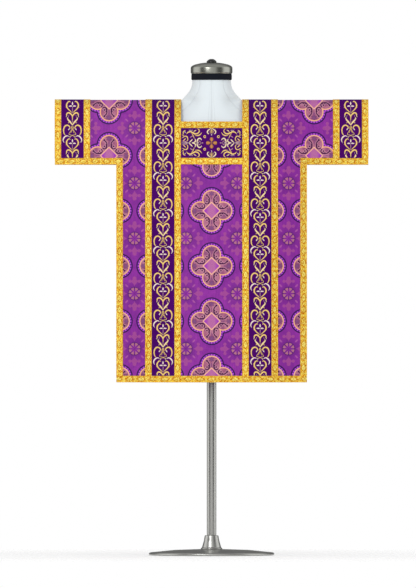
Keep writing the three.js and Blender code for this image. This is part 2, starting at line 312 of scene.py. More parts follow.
# Materials: a small algebra of fields over Blender's nodes
class Field:
    """A number at each point of a surface. Its value is a node's output socket or a plain number."""

    def __init__(self, tree, value):
        self.tree, self.value = tree, value

    def node(self, kind, inputs, output=0, **settings):
        made = self.tree.nodes.new(kind)
        for key, value in settings.items():
            setattr(made, key, value)
        for key, value in inputs.items():
            value = value.value if isinstance(value, Field) else value
            if isinstance(value, bpy.types.NodeSocket):
                self.tree.links.new(value, made.inputs[key])
            else:
                made.inputs[key].default_value = value
        return Field(self.tree, made.outputs[output])

    def math(self, operation, *others, clamp=False):
        inputs = dict(enumerate([self, *others]))
        return self.node("ShaderNodeMath", inputs, operation=operation, use_clamp=clamp)

    def __add__(self, other):
        return self.math("ADD", other)

    def __sub__(self, other):
        return self.math("SUBTRACT", other)

    def __mul__(self, other):
        return self.math("MULTIPLY", other)

    def __rsub__(self, other):
        return Field(self.tree, other).math("SUBTRACT", self)

    def __abs__(self):
        return self.math("ABSOLUTE")

    def least(self, other):
        return self.math("MINIMUM", other)

    def most(self, other):
        return self.math("MAXIMUM", other)

    def folded(self, half):
        """Distance to the nearest multiple of twice half."""
        return self.math("PINGPONG", half)

    def below(self, edge, soft=0.5):
        """1 where the field is under the edge, 0 where it is over, with a soft step between."""
        inputs = {"Value": self, "From Min": edge - soft, "From Max": edge + soft, "To Min": 1.0, "To Max": 0.0}
        return self.node("ShaderNodeMapRange", inputs)

    def above(self, edge, soft=0.5):
        return 1 - self.below(edge, soft)

    def length(self, other):
        pair = self.node("ShaderNodeCombineXYZ", {0: self, 1: other})
        return pair.node("ShaderNodeVectorMath", {0: pair}, 1, operation="LENGTH")

    def painted(self, colour, mask):
        """This colour field with another colour laid over it where the mask is 1."""
        colour = colour if isinstance(colour, Field) else (*colour, 1.0)
        inputs = {"Factor": mask, 6: self, 7: colour}
        return self.node("ShaderNodeMix", inputs, 2, data_type="RGBA")


def rgb(red, green, blue):
    """A colour as it is seen, from 0 to 255, in Blender's linear numbers."""
    return tuple(((v / 255 + 0.055) / 1.055) ** 2.4 if v > 10 else v / 255 / 12.92 for v in (red, green, blue))


def new_material(name, colour, roughness, **sockets):
    """A material with its shader's even values set, and its tree."""
    material = bpy.data.materials.new(name)
    material.use_nodes = True
    tree = material.node_tree
    shader = tree.nodes["Principled BSDF"]
    shader.inputs["Base Color"].default_value = (*colour, 1)
    shader.inputs["Roughness"].default_value = roughness
    for key, value in sockets.items():
        shader.inputs[key.replace("_", " ")].default_value = value
    return material, tree, shader


def field_of(tree, attribute, axis):
    """One coordinate of a mesh's vector attribute."""
    start = Field(tree, 0.0)
    vector = start.node("ShaderNodeAttribute", {}, "Vector", attribute_name=attribute)
    return start.node("ShaderNodeSeparateXYZ", {0: vector}, "XYZ"[axis])


def noise(tree, scale, detail=2.0, stretch=(1, 1, 1)):
    """Noise from 0 to 1 in the piece's own space, in steps of about one unit over the scale."""
    start = Field(tree, 0.0)
    place = start.node("ShaderNodeTexCoord", {}, "Object")
    place = place.node("ShaderNodeVectorMath", {0: place, 1: stretch}, operation="MULTIPLY")
    return place.node("ShaderNodeTexNoise", {"Vector": place, "Scale": scale, "Detail": detail}, 0)


def add_bump(tree, shader, height, distance, strength=1.0):
    """Relief from a height of 0 to 1 over a distance in millimetres."""
    inputs = {"Height": height, "Distance": distance * MM, "Strength": strength}
    relief = Field(tree, 0.0).node("ShaderNodeBump", inputs)
    tree.links.new(relief.value, shader.inputs["Normal"])


def set_colour(tree, shader, colour):
    tree.links.new(colour.value, shader.inputs["Base Color"])


# The brocade's repeat: medallions on a lattice, with a rosette in the middle of each four
REPEAT_WIDE = 171.6
REPEAT_HIGH = 184.7
MEDALLION_DROP = 371.6  # the drop of one row of medallions
LOBE_AT = 38.2
LOBE_RADIUS = 31.4
HEART_RADIUS = 27
RING = 3.5
BEADS = 6.0
BEADS_ROUND = 24
OUTLINE = 4.2
DIAMOND = 30.5
DIAMOND_FILL = 26.2
ROSETTE_RADIUS = 20.5
CROSS_AT = 41.3
DROPLET_AT = 37.5

GROUND = rgb(140, 42, 158)
GROUND_DEEP = rgb(108, 26, 132)
GROUND_BRIGHT = rgb(160, 52, 170)
OUTLINE_COLOUR = rgb(46, 4, 82)
BEAD_COLOUR = rgb(184, 76, 218)
BEAD_GAP = rgb(88, 20, 130)
PEACH = rgb(254, 190, 154)
PEACH_DEEP = rgb(250, 180, 110)
PINK = rgb(166, 90, 122)
PINK_LIGHT = rgb(196, 128, 156)
SCROLL = rgb(70, 10, 70)
LILAC_FILL = rgb(180, 92, 160)
LILAC_LIGHT = rgb(216, 150, 188)
FLOWER_COLOUR = rgb(128, 74, 130)
ROSETTE_COLOUR = rgb(186, 118, 132)
CROSS_COLOUR = rgb(168, 76, 150)
DROPLET_COLOUR = rgb(176, 88, 164)


def medallion_parts(wide, high):
    """Masks of a medallion's parts. wide and high are the distances from its centre across and along."""
    far, near = wide.most(high), wide.least(high)
    lobe_x = far - LOBE_AT
    edge = (lobe_x.length(near) - LOBE_RADIUS).least(far.length(near) - HEART_RADIUS)
    turn = near.math("ARCTAN2", lobe_x)
    bead = (turn * float(BEADS_ROUND)).math("COSINE").above(-0.3, 0.4)
    main_arc = abs((far - 37).length(near - 23.2) - 16)
    main_arc = main_arc.most((near - 17.5) * 1.0).most((29 - far) * 1.0)
    curl = abs((far - 30.6).length(near - 15.2) - 7.8)
    curl = curl.most(((far - 31) + (near - 15.5)) * 0.8)
    dots = ((far - 31.5).length(near - 15.6) - 0.8).least((far - 53.5).length(near - 15) - 0.5)
    scroll = main_arc.least(curl).least(dots)
    tip_x = far - 57
    petals = (near.math("ARCTAN2", tip_x) * 6.0).math("COSINE") * 2.2
    flower = (tip_x.length(near) - 6.0) - petals
    twig = (abs(far - 42.5) * 0.28 + near) - 1.6
    return {
        "inside": edge.below(0),
        "ring": abs(edge + RING / 2).below(RING / 2),
        "beads": abs(edge - BEADS / 2).below(BEADS / 2 - 0.5) * bead,
        "bead_band": abs(edge - BEADS / 2).below(BEADS / 2),
        "outline": abs(edge - (BEADS + OUTLINE / 2)).below(OUTLINE / 2),
        "scroll": scroll.below(1.9),
        "scroll_light": abs(scroll - 3).below(0.9),
        "flower": flower.below(0).most(twig.below(0)),
        "flower_edge": abs(flower - 1).below(1.1) * far.above(49),
        "diamond": (far + near).below(DIAMOND),
        "diamond_fill": (far + near).below(DIAMOND_FILL),
        "diamond_corner": (far + near).below(DIAMOND_FILL) * wide.above(14, 5),
    }


def rosette_parts(wide, high):
    """Masks of a rosette and of what lies round it. wide and high are the distances from its centre."""
    radius = wide.length(high)
    spoke = high.math("ARCTAN2", wide).folded(math.pi / 8)
    aside = spoke.math("SINE") * radius
    slanted = abs(wide - high).below(3)
    off_middle = (math.pi / 8 - spoke).math("SINE") * radius
    petal = radius.below(ROSETTE_RADIUS - 0.8) * (off_middle - (radius - 8) * 0.5).below(0, 0.6)
    knob = (radius - (ROSETTE_RADIUS - 2)).length(aside).below(2.1, 0.7)
    ring = abs(radius - (ROSETTE_RADIUS + 0.8)).below(1.3, 0.8)
    lines = aside.below(0.9, 0.6) * radius.below(ROSETTE_RADIUS)
    lines = lines * radius.above(8, 2).most(slanted * 0.7)
    far, near = wide.most(high), wide.least(high)
    leaf = (far - 51).length(near) - 6.6
    lobe = (far - CROSS_AT).length(near - 15.5) - 5.4
    body = (abs(far - CROSS_AT) * 0.9 + near) - 12
    foot = (near - (far - 25) * 0.42).most(far - 40)
    cross = leaf.least(lobe).least(body).least(foot).below(0, 0.7)
    droplet_x = (wide + high) * math.sqrt(0.5) - DROPLET_AT
    droplet_y = (wide - high) * math.sqrt(0.5)
    droplet = (droplet_x * (1 / 6.4)).length(droplet_y * (1 / 2.7))
    return {
        "petal": petal,
        "spoke": knob.most(ring * 0.7).most(lines * 0.6),
        "cross": cross,
        "droplet": droplet.below(1, 0.2),
        "near": radius.below(34, 16) * radius.above(ROSETTE_RADIUS - 1, 3),
    }


def repeat_places(tree):
    """Where a point lies on the cut, and its distances from the nearest medallion's centre across and along."""
    across, along = field_of(tree, "cut", 0), field_of(tree, "cut", 1)
    high = (along - (MEDALLION_DROP - 4 * REPEAT_HIGH)).folded(REPEAT_HIGH / 2)
    return across, along, across.folded(REPEAT_WIDE / 2), high


def brocade():
    """Silk brocade: the pattern is woven in, so it is colour with a slight relief."""
    material, tree, shader = new_material(
        "silk_brocade", GROUND, 0.55, Specular_IOR_Level=0.2, Sheen_Weight=0.05, Sheen_Roughness=0.4,
        Sheen_Tint=(*rgb(214, 150, 230), 1),
    )
    across, along, wide, high = repeat_places(tree)
    disc = medallion_parts(wide, high)
    bloom = rosette_parts(REPEAT_WIDE / 2 - wide, REPEAT_HIGH / 2 - high)
    cloud, mottle = noise(tree, 9, 3), noise(tree, 42, 3)
    thread = noise(tree, 160, 2, (1, 1, 0.12))
    dashes = (wide * (2 * math.pi / 5)).math("COSINE") * (high * (2 * math.pi / 4)).math("COSINE")
    colour = Field(tree, 0.0).node("ShaderNodeRGB", {})
    colour.value.default_value = (*GROUND, 1)
    colour = colour.painted(GROUND_BRIGHT, cloud.above(0.52, 0.12) * 0.7)
    colour = colour.painted(GROUND_DEEP, mottle.above(0.56, 0.1) * 0.3)
    colour = colour.painted(GROUND_DEEP, bloom["near"] * 0.6)
    colour = colour.painted(GROUND_DEEP, thread.above(0.55, 0.12) * 0.35)
    colour = colour.painted(CROSS_COLOUR, bloom["cross"] * 0.8)
    colour = colour.painted(DROPLET_COLOUR, bloom["droplet"] * 0.85)
    colour = colour.painted(ROSETTE_COLOUR, bloom["petal"] * 0.9)
    colour = colour.painted(OUTLINE_COLOUR, bloom["spoke"] * 0.75)
    colour = colour.painted(OUTLINE_COLOUR, disc["outline"])
    colour = colour.painted(BEAD_GAP, disc["bead_band"])
    colour = colour.painted(BEAD_COLOUR, disc["beads"])
    colour = colour.painted(PINK, disc["inside"])
    colour = colour.painted(PINK_LIGHT, disc["inside"] * mottle.above(0.52, 0.06) * 0.6)
    colour = colour.painted(FLOWER_COLOUR, disc["inside"] * mottle.below(0.44, 0.05) * 0.5)
    colour = colour.painted(rgb(214, 154, 172), disc["inside"] * disc["scroll_light"] * 0.65)
    colour = colour.painted(FLOWER_COLOUR, disc["flower"] * 0.9)
    colour = colour.painted(SCROLL, disc["flower_edge"] * 0.6)
    colour = colour.painted(SCROLL, disc["scroll"])
    colour = colour.painted(PEACH, disc["ring"])
    colour = colour.painted(PEACH_DEEP, disc["ring"] * cloud.above(0.5, 0.1) * 0.7)
    colour = colour.painted(PEACH, disc["diamond"])
    colour = colour.painted(LILAC_FILL, disc["diamond_fill"])
    colour = colour.painted(LILAC_LIGHT, disc["diamond_fill"] * dashes.above(0.25, 0.25) * 0.6)
    colour = colour.painted(rgb(158, 40, 190), disc["diamond_corner"] * 0.8)
    set_colour(tree, shader, colour)
    twill = ((across + along * 0.5) * (2 * math.pi / 1.5)).math("SINE") * 0.5 + 0.5
    raised = disc["ring"].most(disc["diamond"] - disc["diamond_fill"]).most(disc["beads"])
    raised = raised.most(bloom["petal"] * 0.6).most(bloom["cross"] * 0.5)
    height = twill * 0.2 + raised * 0.7 + thread * 0.15 - disc["scroll"] * 0.3
    add_bump(tree, shader, height, 0.5, 0.6)
    return material


def brocade_reverse():
    """The brocade's wrong side: the pattern shows faintly through loose threads."""
    material, tree, shader = new_material("brocade_reverse", rgb(112, 44, 122), 0.75, Specular_IOR_Level=0.25)
    across, along, wide, high = repeat_places(tree)
    disc = medallion_parts(wide, high)
    rib = (along * (2 * math.pi / 2.2)).math("SINE") * 0.5 + 0.5
    floats = noise(tree, 120, 3, (1, 1, 0.1))
    colour = Field(tree, 0.0).node("ShaderNodeRGB", {})
    colour.value.default_value = (*rgb(124, 50, 134), 1)
    colour = colour.painted(rgb(150, 92, 140), disc["inside"] * 0.7)
    colour = colour.painted(rgb(84, 28, 98), disc["scroll"] * 0.7)
    colour = colour.painted(rgb(196, 140, 140), disc["ring"].most(disc["diamond"] - disc["diamond_fill"]) * 0.8)
    colour = colour.painted(rgb(72, 20, 92), disc["outline"] * 0.8)
    colour = colour.painted(rgb(84, 28, 98), floats.above(0.5, 0.1) * 0.5)
    colour = colour.painted(rgb(148, 84, 150), (across * (2 * math.pi / 3)).math("SINE").above(0.6, 0.3) * 0.3)
    set_colour(tree, shader, colour)
    add_bump(tree, shader, rib * 0.5 + floats * 0.5, 0.3, 0.6)
    return material


def velvet():
    base = rgb(74, 5, 103)
    material, tree, shader = new_material(
        "violet_velvet", base, 0.85, Specular_IOR_Level=0.06, Sheen_Weight=0.08, Sheen_Roughness=0.35,
        Sheen_Tint=(*rgb(160, 80, 210), 1),
    )
    pile = noise(tree, 900, 2)
    nap = noise(tree, 22, 3, (1, 1, 0.5))
    colour = Field(tree, 0.0).node("ShaderNodeRGB", {})
    colour.value.default_value = (*base, 1)
    colour = colour.painted(rgb(84, 10, 116), nap.above(0.5, 0.14) * 0.5)
    colour = colour.painted(rgb(52, 2, 74), pile.above(0.55, 0.1) * 0.5)
    set_colour(tree, shader, colour)
    add_bump(tree, shader, pile, 0.35, 0.5)
    return material


# The gold braid: a woven chain of pointed eyes with knots between, and corded edges
EYE_PITCH = 39
EYE_LONG = 11.5
EYE_WIDE = 6.2
EYE_ROUND = (EYE_LONG**2 + EYE_WIDE**2) / (2 * EYE_WIDE)
EYE_RISE = 0.8
KNOT = 3.6
CORD_AT = 9.9
GOLD = rgb(251, 195, 46)
GOLD_LIGHT = rgb(255, 236, 98)
GOLD_PALE = rgb(255, 245, 136)
GOLD_DARK = rgb(212, 130, 4)
GOLD_DEEP = rgb(176, 88, 2)


def braid():
    material, tree, shader = new_material(
        "gold_braid", GOLD, 0.45, Metallic=0.25, Specular_IOR_Level=0.08
    )
    along, across = field_of(tree, "cut", 0), abs(field_of(tree, "cut", 1))
    eye_at = along.folded(EYE_PITCH / 2)
    knot_at = EYE_PITCH / 2 - eye_at
    eye = eye_at.length(across + (EYE_ROUND - EYE_WIDE)) - EYE_ROUND
    tips = (eye_at - (EYE_LONG + 0.8)).length(across)
    knot = (knot_at * 0.8 + across) - KNOT
    petals = (knot_at * 0.6).length(across - 6.6)
    cord = ((along + across * 0.8) * (2 * math.pi / 3.4)).math("SINE") * 0.5 + 0.5
    weft = (along * (2 * math.pi / 1.3)).math("SINE") * 0.5 + 0.5
    edge = across.above(8.8, 0.4)
    glint, fleck = noise(tree, 260, 2), noise(tree, 150, 3)
    colour = Field(tree, 0.0).node("ShaderNodeRGB", {})
    colour.value.default_value = (*GOLD, 1)
    colour = colour.painted(GOLD_DARK, fleck.below(0.45, 0.06) * 0.8)
    colour = colour.painted(GOLD_LIGHT, petals.below(2.4, 0.5) * 0.75)
    colour = colour.painted(GOLD_LIGHT, knot.below(0) * 0.75)
    colour = colour.painted(GOLD_DARK, abs(knot - 1).below(0.7) * 0.8)
    colour = colour.painted(GOLD_DEEP, abs(eye - 0.4).below(1.0) * 0.8)
    colour = colour.painted(GOLD_LIGHT, eye.below(-0.8, 0.5) * 0.55)
    colour = colour.painted(GOLD_PALE, eye.below(-1.8, 0.6) * fleck.above(0.5, 0.05) * 0.8)
    colour = colour.painted(GOLD_DARK, eye.below(-4.9, 0.5) * 0.6)
    colour = colour.painted(GOLD_DEEP, tips.below(1.5, 0.5) * 0.9)
    colour = colour.painted(GOLD, edge)
    # painted shade in the grooves between the twists of the corded edges
    colour = colour.painted(GOLD_DARK, edge * cord.below(0.35, 0.2) * 0.6)
    # painted glints: pale specks where the fine noise is high, and painted dark dips where it is low
    colour = colour.painted(GOLD_PALE, glint.above(0.57, 0.05) * 0.6)
    colour = colour.painted(GOLD_DEEP, glint.below(0.42, 0.04) * 0.5)
    set_colour(tree, shader, colour)
    add_bump(tree, shader, weft * 0.5 + edge * cord + fleck * 0.6, 0.35, 0.7)
    return material


def braid_height(along, across):
    """The braid's raised figure, as a height over its ground."""
    eye_at = np.abs((along + EYE_PITCH / 2) % EYE_PITCH - EYE_PITCH / 2)
    knot_at = EYE_PITCH / 2 - eye_at
    across = np.abs(across)
    eye = EYE_ROUND - np.hypot(eye_at, across + EYE_ROUND - EYE_WIDE)
    height = EYE_RISE * np.sqrt(np.clip(eye / EYE_WIDE, 0, 1))
    height = np.maximum(height, 0.4 * np.sqrt(np.clip(1 - (knot_at * 0.8 + across) / KNOT, 0, 1)))
    cord = 0.7 * np.exp(-(((across - CORD_AT) / 1.0) ** 2))
    rounded_edge = -0.9 * np.clip((across - 10.3) / 0.9, 0, 1) ** 2
    return np.maximum(height, cord) + rounded_edge


# Embroidery threads: core is the thread's colour, made pale as a painted highlight for a stroke's crown; edge is the
# painted shade at its sides
THREADS = {
    "gold": dict(core=rgb(255, 226, 138), edge=rgb(214, 140, 50)),
    "pale": dict(core=rgb(255, 238, 184), edge=rgb(224, 160, 70)),
    "cream": dict(core=rgb(255, 244, 208), edge=rgb(228, 176, 108)),
    "lilac": dict(core=rgb(255, 242, 230), edge=rgb(222, 172, 172)),
    "pink": dict(core=rgb(206, 158, 168), edge=rgb(146, 88, 126)),
    "orange": dict(core=rgb(206, 142, 72), edge=rgb(128, 62, 48)),
}


def embroidery_thread(name, core, edge):
    """Satin stitch: fine threads laid across a stroke, pale on its crown as a painted highlight and darker at its sides
    as painted shade.
    """
    material, tree, shader = new_material(
        f"thread_{name}", core, 0.4, Specular_IOR_Level=0.3, Sheen_Weight=0.05
    )
    along, across = field_of(tree, "stitch", 0), field_of(tree, "stitch", 1)
    stitch = ((along + across * 0.7) * (2 * math.pi / 0.9)).math("SINE") * 0.5 + 0.5
    colour = Field(tree, 0.0).node("ShaderNodeRGB", {})
    colour.value.default_value = (*core, 1)
    # painted shade: the stroke's sides take the darker edge colour, the crown keeps the pale core as a painted
    # highlight
    colour = colour.painted(edge, abs(across).above(0.6, 0.3) * 0.75)
    # painted shade in the hollows between the stitches
    colour = colour.painted(edge, stitch.below(0.25, 0.2) * 0.25)
    set_colour(tree, shader, colour)
    add_bump(tree, shader, stitch, 0.25, 0.45)
    return material


# One repeat of the orphrey's embroidery, right half, drawn for this part. Points are (across, down).
ORPHREY_REPEAT = 123.9
ORPHREY_START = 5.4
ORPHREY_STROKES = [
    dict(
        thread="gold", half=(1.5, 2.8, 1.1),
        points=[
            (6.8, 3.5), (10.4, 0.8), (15.4, 3.4), (19, 9.5), (19.6, 16), (17.2, 22), (12, 28), (6.2, 33.2), (1.2, 38.5),
        ],
    ),
    dict(thread="gold", half=(1.3, 1.0, 0.4), points=[(18.4, 18), (20.6, 19.8), (22.6, 21.8)]),
    dict(thread="lilac", half=(1.2, 2.7, 1.1), points=[(0.9, 16.4), (6.5, 15.9), (12.2, 16.6)]),
    dict(
        thread="gold", half=(1.8, 2.9, 2.0),
        points=[(0.6, 52), (1.4, 47), (5.4, 42), (10.5, 38.4), (16, 38.6), (19.2, 42.4), (20, 47)],
    ),
    dict(thread="pale", half=(1.6, 1.5, 0.6), points=[(18.8, 45.6), (20.2, 49), (21, 53)]),
    dict(thread="pink", half=(0.6, 1.0, 0.4), points=[(11, 45), (13, 49), (12.4, 53)]),
    dict(
        thread="pale", half=(1.2, 3.2, 1.4),
        points=[(-1, 80), (3, 74.4), (7.4, 68.5), (12.6, 62.8), (16.6, 57), (14.8, 52.4)],
    ),
    dict(thread="gold", half=(1.1, 1.3, 0.5), points=[(9.4, 68.6), (12.4, 70.6), (15.4, 72.4)]),
    dict(thread="gold", half=(0.9, 1.4, 0.9), points=[(1.5, 81), (2.4, 86), (4.5, 91)]),
    dict(
        thread="gold", half=(0.9, 1.0, 0.9),
        points=[(-2.5, 86), (2.5, 93.5), (6.8, 101), (11.2, 107.6), (9.5, 111), (3.5, 112), (-3, 115), (-7.5, 118.4)],
    ),
    dict(thread="cream", half=(1.6, 2.3, 1.6), points=[(7.6, 117.2), (8.6, 118.6), (9.2, 120)]),
    dict(thread="gold", half=(0.6, 0.8, 0.6), points=[(0, 93), (3.4, 100), (5.4, 106.4)]),
    dict(thread="lilac", half=(0.8, 2.0, 1.3), points=[(13.6, 96), (11.6, 92.2), (9.4, 90)]),
    dict(
        thread="gold", half=(1.6, 2.7, 1.5),
        points=[
            (9.6, 91), (8.4, 87.4), (11, 82), (18, 79.2), (25.4, 83), (29.2, 91.6), (29.4, 101), (27, 108.6),
            (22.4, 113),
        ],
    ),
    dict(
        thread="lilac", half=(1.2, 2.7, 1.0),
        points=[(11.6, 117.6), (17.4, 114.6), (24.4, 117), (30.2, 124.4), (30.8, 131.4), (27.4, 138)],
    ),
]
ORPHREY_MIDDLES = [
    dict(thread="lilac", half=(0.9, 2.7, 1.7), points=[(0, 1.6), (0, 7.6), (0, 12.8)]),
    dict(thread="pink", half=(1.1, 1.2, 0.8), points=[(0, 17.6), (0, 29), (0, 41)]),
    dict(thread="gold", half=(1.9, 1.6, 1.0), points=[(0, 50), (0, 57), (0, 63)]),
    dict(thread="pink", half=(1.1, 1.1, 0.7), points=[(0, 61), (0, 68), (0, 74)]),
]

# A quarter of the yoke's embroidery, lower left, and what lies on its axes. Points are from the panel's middle.
YOKE_STROKES = [
    dict(thread="cream", half=(1.0, 2.4, 1.4), points=[(0.8, 48.4), (6, 45.6), (11.4, 41.6), (14, 36.6), (12.2, 31.6), (8, 30)]),
    dict(thread="gold", half=(0.7, 1.1, 0.7), points=[(1, 43), (4.5, 39), (4.8, 34.5), (2, 32)]),
    dict(thread="cream", half=(1.1, 2.4, 2.0), points=[(32.6, 8.6), (36.4, 13.8), (42, 15), (47.2, 9.4), (49, 0.8)]),
    dict(thread="pink", half=(0.8, 1.5, 1.3), points=[(49, 5.6), (44, 6.8), (38.8, 4.6), (37, 0.4)]),
    dict(thread="cream", half=(1.1, 2.3, 1.3), points=[(56.4, 14.2), (53.6, 9), (55.4, 3.6), (61, 0.8), (66.6, 0.2)]),
    dict(thread="cream", half=(1.2, 2.2, 1.2), points=[(63.6, 12.4), (69.4, 6.4), (75.6, 0.6)]),
    dict(thread="pink", half=(0.8, 1.9, 0.7), points=[(82, 1), (88, 4.4), (95, 3.8)]),
    dict(thread="pink", half=(0.7, 1.5, 0.6), points=[(90, 2), (95, 6), (100.4, 5.4)]),
    dict(
        thread="gold", half=(1.0, 2.0, 0.9),
        points=[(84.6, 4.4), (80.4, 8.6), (79.6, 15), (83.4, 21.6), (90, 22), (95, 18.6), (99, 17.4)],
    ),
    dict(thread="gold", half=(1.0, 2.0, 1.0), points=[(95, 6.4), (90.6, 10.8), (86.4, 15.2)]),
    dict(thread="gold", half=(0.7, 1.3, 0.6), points=[(90.6, 22.4), (95.6, 25), (99.6, 29)]),
    dict(
        thread="gold", half=(1.6, 2.8, 1.2),
        points=[(84.4, 28.8), (79, 35), (70.6, 37), (63, 33.8), (55, 30.2), (47, 31.6), (41.4, 38), (42.6, 44.4), (48, 48)],
    ),
    dict(thread="pale", half=(0.8, 1.9, 0.8), points=[(60, 37.4), (55.6, 40.4), (50.4, 43)]),
    dict(thread="gold", half=(0.9, 2.3, 0.7), points=[(55.6, 25.2), (48.6, 24.2), (41, 26), (36, 30), (32.6, 35.4)]),
    dict(thread="gold", half=(1.0, 1.9, 0.9), points=[(93.6, 27.4), (95, 34), (92.6, 39.6), (87, 42.4)]),
    dict(thread="lilac", half=(0.7, 1.3, 0.6), points=[(86.4, 33.6), (89.4, 36.6), (88.6, 40)]),
    dict(thread="gold", half=(0.9, 1.5, 0.9), points=[(67, 33), (62.6, 26), (59.6, 20), (57.6, 14.6)]),
    dict(thread="pink", half=(1.0, 1.7, 0.8), points=[(71.6, 17.4), (67.4, 21.4), (61, 23)]),
    *[dict(thread="lilac", half=(0.9, 0.9, 0.5), points=[(69.8 + d, 38.6), (69.9 + 1.4 * d, 41), (70 + 1.8 * d, 44)]) for d in (-3, 0, 3)],
]
YOKE_ACROSS = [
    dict(thread="pink", half=(0.9, 2.2, 0.8), points=[(34.6, 0), (31, 0), (27.4, 0)]),
    dict(thread="lilac", half=(0.8, 1.6, 0.8), points=[(50, 0), (46, 0), (42, 0)]),
    dict(thread="lilac", half=(0.9, 1.2, 0.6), points=[(76, 0), (88, 0), (101, 0)]),
]
YOKE_DOWN = [
    dict(thread="gold", half=(0.9, 1.5, 0.8), points=[(0, 49), (0, 39), (0, 31)]),
    dict(thread="lilac", half=(0.9, 1.6, 0.7), points=[(0, 30), (0, 27.5), (0, 24.6)]),
]
YOKE_DOTS = dict(across=22.8, down=20.8, radius=3.3, half=1.6)
YOKE_PETAL = dict(radii=(3.4, 11.5, 18.6), half=(1.6, 7.2, 4.8))


def curve_through(points, count):
    """A smooth curve through given points, as Catmull and Rom draw it."""
    knots = np.array([points[0], *points, points[-1]], float)
    knots[0], knots[-1] = 2 * knots[1] - knots[2], 2 * knots[-2] - knots[-3]
    spans = len(points) - 1
    places = np.linspace(0, spans, count)
    k = np.minimum(places.astype(int), spans - 1)
    f = (places - k)[:, None]
    a, b, c, d = (knots[k + i] for i in range(4))
    return 0.5 * (2 * b + (c - a) * f + (2 * a - 5 * b + 4 * c - d) * f**2 + (3 * b - a - 3 * c + d) * f**3)


def circle_points(across, down, radius):
    angles = np.linspace(0, 2 * math.pi, 9)
    return [(across + radius * math.cos(a), down + radius * math.sin(a)) for a in angles]


def mirrored(stroke, across, down):
    return {**stroke, "points": [(across * x, down * y) for x, y in stroke["points"]]}


def moved(stroke, down):
    return {**stroke, "points": [(x, y + down) for x, y in stroke["points"]]}


STROKE_SECTION = [(-1, 0.0), (-0.72, 0.62), (0, 1.0), (0.72, 0.62), (1, 0.0), (0, -0.35)]


def embroidered(name, strokes, place, rise, materials):
    """One mesh of raised satin strokes. place turns (across, down, height) into points over the cloth."""
    flat, faces, indices, stitches = [], [], [], []
    kinds, ring = list(materials), len(STROKE_SECTION)
    start = 0
    for stroke in strokes:
        count = 5 * len(stroke["points"]) - 3
        line = curve_through(stroke["points"], count)
        step = np.gradient(line, axis=0)
        length = np.linalg.norm(step, axis=1, keepdims=True)
        side = np.stack([-step[:, 1], step[:, 0]], axis=1) / length
        share = np.linspace(0, 1, count)
        half = np.interp(share, [0, 0.45, 1], stroke["half"]) * np.clip(np.minimum(share, 1 - share) * 9 + 0.25, 0, 1)
        travelled = np.cumsum(length)
        for u, h in STROKE_SECTION:
            across = line + side * (u * half)[:, None]
            flat.append(np.column_stack([across, h * rise * np.sqrt(half / 2.5)]))
            stitches.append(np.column_stack([travelled, np.full(count, u), half]))
        for k in range(ring):
            n = (k + 1) % ring
            for i in range(start, start + count - 1):
                faces.append([k * count + i, k * count + i + 1, n * count + i + 1, n * count + i])
        faces.append([start + k * count for k in range(ring)])
        faces.append([start + k * count + count - 1 for k in reversed(range(ring))])
        indices += [kinds.index(stroke["thread"])] * (ring * (count - 1) + 2)
        start += ring * count
    across, down, height = np.concatenate(flat).T
    points = place(across, down, height)
    made = list(materials.values())
    return new_piece(name, points, faces, made, indices, {"stitch": np.concatenate(stitches)})


def face_outwards(piece):
    """Turns the faces of closed strokes outwards."""
    import bmesh

    mesh = bmesh.new()
    mesh.from_mesh(piece.data)
    bmesh.ops.recalc_face_normals(mesh, faces=mesh.faces)
    mesh.to_mesh(piece.data)
    mesh.free()


def trimmed(stroke, first, last):
    """The longest part of a stroke that lies between two places down the band, or nothing."""
    line = curve_through(stroke["points"], 6 * len(stroke["points"]))
    inside = (line[:, 1] > first) & (line[:, 1] < last)
    if inside.all():
        return [stroke]
    runs = np.split(np.arange(len(line)), np.flatnonzero(np.diff(inside)) + 1)
    longest = max((run for run in runs if inside[run[0]]), key=len, default=[])
    if len(longest) < 8:
        return []
    return [{**stroke, "points": [tuple(point) for point in line[longest[::3]]]}]


def orphrey_strokes(end):
    """Every stroke of a band from the shoulder to its end. Those that run under the hem are cut off there."""
    strokes = []
    for k in range(math.ceil(end / ORPHREY_REPEAT)):
        down = k * ORPHREY_REPEAT + ORPHREY_START
        for stroke in ORPHREY_STROKES:
            strokes += [moved(stroke, down), moved(mirrored(stroke, -1, 1), down)]
        strokes += [moved(stroke, down) for stroke in ORPHREY_MIDDLES]
    return [kept for stroke in strokes for kept in trimmed(stroke, 1, end - 0.5)]


def yoke_strokes():
    strokes = []
    for down in (-1, 1):
        for across in (-1, 1):
            strokes += [mirrored(stroke, across, down) for stroke in YOKE_STROKES]
            dot = YOKE_DOTS
            ring = circle_points(across * dot["across"], down * dot["down"], dot["radius"])
            strokes.append(dict(thread="gold", half=(dot["half"],) * 3, points=ring))
        strokes += [mirrored(stroke, 1, down) for stroke in YOKE_DOWN]
    for across, down in ((-1, 0), (1, 0), (0, -1), (0, 1)):
        strokes += [mirrored(stroke, across, 1) for stroke in YOKE_ACROSS if across]
        petal = [(across * r, down * r) for r in YOKE_PETAL["radii"]]
        strokes.append(dict(thread="orange", half=YOKE_PETAL["half"], points=petal))
    strokes.append(dict(thread="orange", half=(1.1,) * 3, points=circle_points(0, 0, 1.7)))
    return strokes


# Heights over the cloth's middle
CLOTH_INNER = -1.0
CLOTH_OUTER = 1.0
VELVET_OUTER = 2.3
BRAID_GROUND = 2.5
UNDER_TRIM = 0.6
EMBROIDERY_BASE = 2.2
EMBROIDERY_RISE = 1.9

PANEL_STEP = 5.5
VELVET_STEP = 5
BRAID_STEP = 3.25
BRAID_ACROSS = np.array([-11.2, -10.8, -9.9, -9.2, -8.2, -6.2, -4.2, -2, 0, 2, 4.2, 6.2, 8.2, 9.2, 9.9, 10.8, 11.2])


def panel_cut(x, side):
    """How long a front or back is cut in the column at x."""
    start = NECK_DROP[side] if abs(x) < NECK_SIDE else 0
    end = LENGTH if abs(x) < BODY_SIDE else SLEEVE_DEPTH
    return cut_length(x, *sorted((SIDES[side] * start, SIDES[side] * end)))


